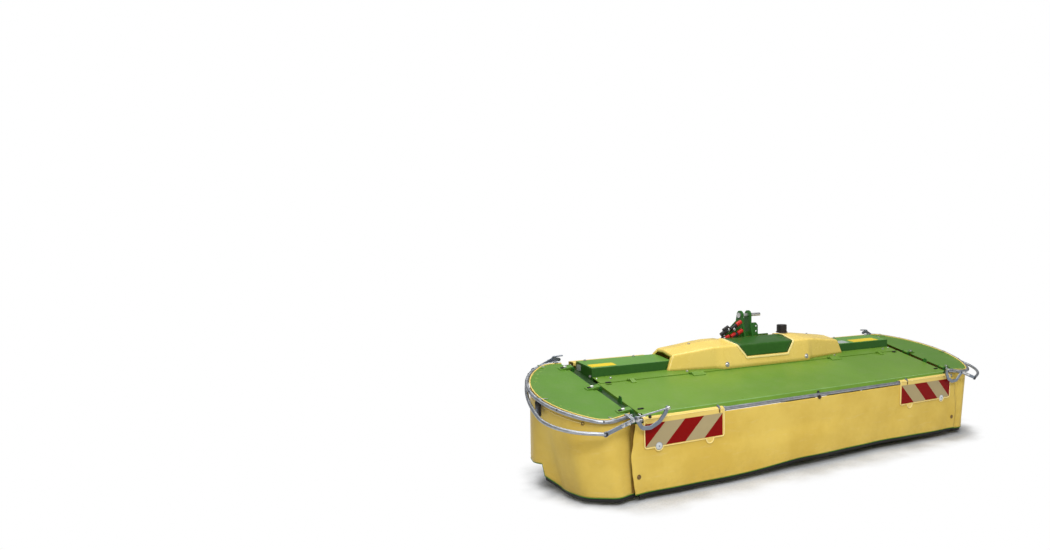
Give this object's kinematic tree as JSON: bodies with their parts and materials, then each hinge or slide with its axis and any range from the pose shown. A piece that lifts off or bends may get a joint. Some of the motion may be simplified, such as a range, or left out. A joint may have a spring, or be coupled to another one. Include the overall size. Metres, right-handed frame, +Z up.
{
  "type": "front disc mower",
  "caption": "Front-mounted disc mower: geared cutterbar under a hinged cover, fold-up half-round side guards, curtains, warning boards and a three-point headstock.",
  "frame": {"origin": "on the ground under the middle of the machine's box", "axes": "+X across the machine to the side of the offset input shaft, +Y towards the headstock and the tractor, +Z up"},
  "size_m": [3.8774, 1.1806, 1.0179],
  "materials": {
    "green_paint": "gloss powder coat",
    "dark_green_paint": "gloss powder coat",
    "cream_moulding": "moulded, satin gloss",
    "cream_paint": "gloss powder coat",
    "cream_fabric": "coated woven fabric",
    "galvanised_steel": "hot-dip galvanised",
    "zinc_plate": "bright zinc",
    "bare_steel": "worn steel",
    "cast_iron_paint": "painted casting",
    "black_plastic": "matt",
    "black_rubber": "matt",
    "hazard_film": "retroreflective film, red and white bars",
    "red_plastic": "gloss"
  },
  "bodies": {
    "frame": {"beam_housings": "green_paint", "couplers": "black_plastic", "cover_strip": "green_paint", "cutterbar": "dark_green_paint", "cutterbar_hangers": "dark_green_paint", "dust_caps": "red_plastic", "front_curtain": "cream_fabric", "front_tube": "galvanised_steel", "gearbox": "cast_iron_paint", "hazard_sheets": "hazard_film", "headstock": "dark_green_paint", "hitch_pins": "zinc_plate", "hood": "cream_moulding", "hood_panel": "green_paint", "hydraulic_hose_1": "black_rubber", "hydraulic_hose_2": "black_rubber", "lower_link_brackets": "dark_green_paint", "main_beam": "dark_green_paint", "parking_stands": "galvanised_steel", "rear_curtains": "cream_fabric", "rear_guards": "cream_paint", "shaft_guard": "black_plastic", "side_arms": "dark_green_paint", "skids": "bare_steel", "vent_cap": "black_plastic", "warning_boards": "cream_paint"},
    "input_shaft": {"input_shaft": "bare_steel"},
    "centre_cover": {"centre_cover": "green_paint"},
    "side_guard_left": {"side_lid_left": "green_paint", "guard_rail_left": "galvanised_steel", "guard_bow_left": "galvanised_steel", "side_curtain_left": "cream_fabric"},
    "side_guard_right": {"side_lid_right": "green_paint", "guard_rail_right": "galvanised_steel", "guard_bow_right": "galvanised_steel", "side_curtain_right": "cream_fabric"},
    "disc_1": {"disc_1": "bare_steel"},
    "disc_2": {"disc_2": "bare_steel"},
    "disc_3": {"disc_3": "bare_steel"},
    "disc_4": {"disc_4": "bare_steel"},
    "disc_5": {"disc_5": "bare_steel"},
    "disc_6": {"disc_6": "bare_steel"},
    "disc_7": {"disc_7": "bare_steel"},
    "disc_8": {"disc_8": "bare_steel"}
  },
  "joints": [
    {"name": "side_guard_left_hinge", "type": "hinge", "parent": "frame", "child": "side_guard_left", "pos_m": [-1.434, -0.05281, 0.6257], "axis": [0, 0.9763, 0.2164], "range_deg": [0, 90]},
    {"name": "side_guard_right_hinge", "type": "hinge", "parent": "frame", "child": "side_guard_right", "pos_m": [1.434, -0.05281, 0.6257], "axis": [0, -0.9763, -0.2164], "range_deg": [0, 90]},
    {"name": "centre_cover_hinge", "type": "hinge", "parent": "frame", "child": "centre_cover", "pos_m": [0, 0.03115, 0.64431], "axis": [-1, 0, 0], "range_deg": [0, 80]},
    {"name": "disc_1_spin", "type": "hinge", "parent": "frame", "child": "disc_1", "pos_m": [-1.4, -0.0397, 0.09], "axis": [0, 0, 1], "continuous": true},
    {"name": "disc_2_spin", "type": "hinge", "parent": "frame", "child": "disc_2", "pos_m": [-1, -0.0397, 0.09], "axis": [0, 0, 1], "continuous": true},
    {"name": "disc_3_spin", "type": "hinge", "parent": "frame", "child": "disc_3", "pos_m": [-0.6, -0.0397, 0.09], "axis": [0, 0, 1], "continuous": true},
    {"name": "disc_4_spin", "type": "hinge", "parent": "frame", "child": "disc_4", "pos_m": [-0.2, -0.0397, 0.09], "axis": [0, 0, 1], "continuous": true},
    {"name": "disc_5_spin", "type": "hinge", "parent": "frame", "child": "disc_5", "pos_m": [0.2, -0.0397, 0.09], "axis": [0, 0, 1], "continuous": true},
    {"name": "disc_6_spin", "type": "hinge", "parent": "frame", "child": "disc_6", "pos_m": [0.6, -0.0397, 0.09], "axis": [0, 0, 1], "continuous": true},
    {"name": "disc_7_spin", "type": "hinge", "parent": "frame", "child": "disc_7", "pos_m": [1, -0.0397, 0.09], "axis": [0, 0, 1], "continuous": true},
    {"name": "disc_8_spin", "type": "hinge", "parent": "frame", "child": "disc_8", "pos_m": [1.4, -0.0397, 0.09], "axis": [0, 0, 1], "continuous": true},
    {"name": "input_shaft_spin", "type": "hinge", "parent": "frame", "child": "input_shaft", "pos_m": [0.2, 0.3803, 0.5], "axis": [0, 1, 0], "continuous": true}
  ],
  "couplings": [
    {"joint": "disc_1_spin", "follows": "disc_5_spin", "ratio": 1},
    {"joint": "disc_2_spin", "follows": "disc_5_spin", "ratio": -1},
    {"joint": "disc_3_spin", "follows": "disc_5_spin", "ratio": 1},
    {"joint": "disc_4_spin", "follows": "disc_5_spin", "ratio": -1},
    {"joint": "disc_6_spin", "follows": "disc_5_spin", "ratio": -1},
    {"joint": "disc_7_spin", "follows": "disc_5_spin", "ratio": 1},
    {"joint": "disc_8_spin", "follows": "disc_5_spin", "ratio": -1},
    {"joint": "input_shaft_spin", "follows": "disc_5_spin", "ratio": -0.33333}
  ]
}
